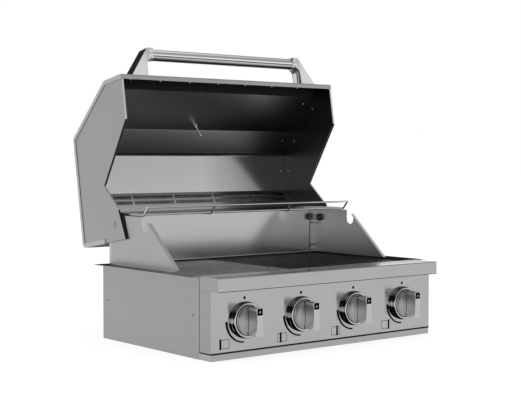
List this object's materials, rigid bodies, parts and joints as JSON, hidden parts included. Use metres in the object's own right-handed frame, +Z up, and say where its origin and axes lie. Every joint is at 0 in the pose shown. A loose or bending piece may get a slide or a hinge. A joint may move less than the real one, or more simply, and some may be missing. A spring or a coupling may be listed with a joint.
{
  "type": "built-in gas grill",
  "caption": "Built-in gas grill with an open pivoting lid, wind guards, warming rack, lift-out grates and flame tamers, tube burners, push-and-turn knobs and a sliding grease tray.",
  "frame": {"origin": "middle of the underside of the body", "axes": "+X to the right along the front, +Y from the front to the back, +Z up"},
  "size_m": [0.838, 0.7386, 0.8136],
  "materials": {
    "brushed_steel": "brushed along the width",
    "dark_steel": "dull, heat darkened",
    "pipe_steel": "drawn tube",
    "mirror_steel": "mirror-like rolled sheet",
    "satin_steel": "satin",
    "chrome": "polished",
    "grate_iron": "dark, slightly glossy",
    "brass": "machined"
  },
  "bodies": {
    "root": {"left_side_panel": "brushed_steel", "right_side_panel": "brushed_steel", "bottom_pan": "brushed_steel", "rear_panel": "brushed_steel", "control_panel": "brushed_steel", "front_trim": "brushed_steel", "firebox_liner": "brushed_steel", "left_wind_guard": "brushed_steel", "right_wind_guard": "brushed_steel", "back_wall": "brushed_steel", "left_hinge_stud": "dark_steel", "right_hinge_stud": "dark_steel", "front_support_rail": "brushed_steel", "rear_support_rail": "brushed_steel", "burner_1": "dark_steel", "burner_2": "dark_steel", "burner_3": "dark_steel", "burner_4": "dark_steel", "valve_1": "brass", "valve_2": "brass", "valve_3": "brass", "valve_4": "brass", "gas_manifold": "pipe_steel", "supply_pipe": "pipe_steel", "knob_bezel_1": "chrome", "knob_bezel_2": "chrome", "knob_bezel_3": "chrome", "knob_bezel_4": "chrome", "left_tray_rail": "brushed_steel", "right_tray_rail": "brushed_steel"},
    "lid": {"lid_skin": "brushed_steel", "lid_left_panel": "dark_steel", "lid_right_panel": "dark_steel", "lid_liner": "mirror_steel", "temperature_gauge": "chrome", "handle_tube": "satin_steel", "handle_left_post": "satin_steel", "handle_right_post": "satin_steel"},
    "tray": {"grease_tray": "brushed_steel", "grease_tray_front": "brushed_steel"},
    "grate_left": {"cooking_grate_left": "grate_iron"},
    "grate_middle": {"cooking_grate_middle": "grate_iron"},
    "grate_right": {"cooking_grate_right": "grate_iron"},
    "rack": {"warming_rack": "chrome"},
    "tamer_1": {"flame_tamer_1": "dark_steel"},
    "tamer_2": {"flame_tamer_2": "dark_steel"},
    "tamer_3": {"flame_tamer_3": "dark_steel"},
    "tamer_4": {"flame_tamer_4": "dark_steel"},
    "push_1": {"spring_collar_1": "brass"},
    "turn_1": {"valve_stem_1": "chrome", "knob_1": "chrome"},
    "push_2": {"spring_collar_2": "brass"},
    "turn_2": {"valve_stem_2": "chrome", "knob_2": "chrome"},
    "push_3": {"spring_collar_3": "brass"},
    "turn_3": {"valve_stem_3": "chrome", "knob_3": "chrome"},
    "push_4": {"spring_collar_4": "brass"},
    "turn_4": {"valve_stem_4": "chrome", "knob_4": "chrome"}
  },
  "joints": [
    {"name": "lid_hinge", "type": "hinge", "parent": "root", "child": "lid", "pos_m": [0, 0.2011, 0.3183], "axis": [1, 0, 0], "range_deg": [0, 99.5]},
    {"name": "tray_slide", "type": "slide", "parent": "root", "child": "tray", "axis": [0, -1, 0], "range_m": [0, 0.4]},
    {"name": "grate_left_lift", "type": "slide", "parent": "root", "child": "grate_left", "axis": [0, 0, 1], "range_m": [0, 0.04]},
    {"name": "grate_middle_lift", "type": "slide", "parent": "root", "child": "grate_middle", "axis": [0, 0, 1], "range_m": [0, 0.04]},
    {"name": "grate_right_lift", "type": "slide", "parent": "root", "child": "grate_right", "axis": [0, 0, 1], "range_m": [0, 0.04]},
    {"name": "rack_lift", "type": "slide", "parent": "root", "child": "rack", "axis": [0, 0, 1], "range_m": [0, 0.04]},
    {"name": "tamer_1_lift", "type": "slide", "parent": "root", "child": "tamer_1", "axis": [0, 0, 1], "range_m": [0, 0.02]},
    {"name": "tamer_2_lift", "type": "slide", "parent": "root", "child": "tamer_2", "axis": [0, 0, 1], "range_m": [0, 0.02]},
    {"name": "tamer_3_lift", "type": "slide", "parent": "root", "child": "tamer_3", "axis": [0, 0, 1], "range_m": [0, 0.02]},
    {"name": "tamer_4_lift", "type": "slide", "parent": "root", "child": "tamer_4", "axis": [0, 0, 1], "range_m": [0, 0.02]},
    {"name": "knob_1_push", "type": "slide", "parent": "root", "child": "push_1", "axis": [0, 1, 0], "range_m": [0, 0.003], "stiffness_N_per_m": 300},
    {"name": "knob_1_turn", "type": "hinge", "parent": "push_1", "child": "turn_1", "pos_m": [-0.2805, -0.255, 0.0965], "axis": [0, -1, 0], "range_deg": [0, 180]},
    {"name": "knob_2_push", "type": "slide", "parent": "root", "child": "push_2", "axis": [0, 1, 0], "range_m": [0, 0.003], "stiffness_N_per_m": 300},
    {"name": "knob_2_turn", "type": "hinge", "parent": "push_2", "child": "turn_2", "pos_m": [-0.0935, -0.255, 0.0965], "axis": [0, -1, 0], "range_deg": [0, 180]},
    {"name": "knob_3_push", "type": "slide", "parent": "root", "child": "push_3", "axis": [0, 1, 0], "range_m": [0, 0.003], "stiffness_N_per_m": 300},
    {"name": "knob_3_turn", "type": "hinge", "parent": "push_3", "child": "turn_3", "pos_m": [0.0935, -0.255, 0.0965], "axis": [0, -1, 0], "range_deg": [0, 180]},
    {"name": "knob_4_push", "type": "slide", "parent": "root", "child": "push_4", "axis": [0, 1, 0], "range_m": [0, 0.003], "stiffness_N_per_m": 300},
    {"name": "knob_4_turn", "type": "hinge", "parent": "push_4", "child": "turn_4", "pos_m": [0.2805, -0.255, 0.0965], "axis": [0, -1, 0], "range_deg": [0, 180]}
  ]
}
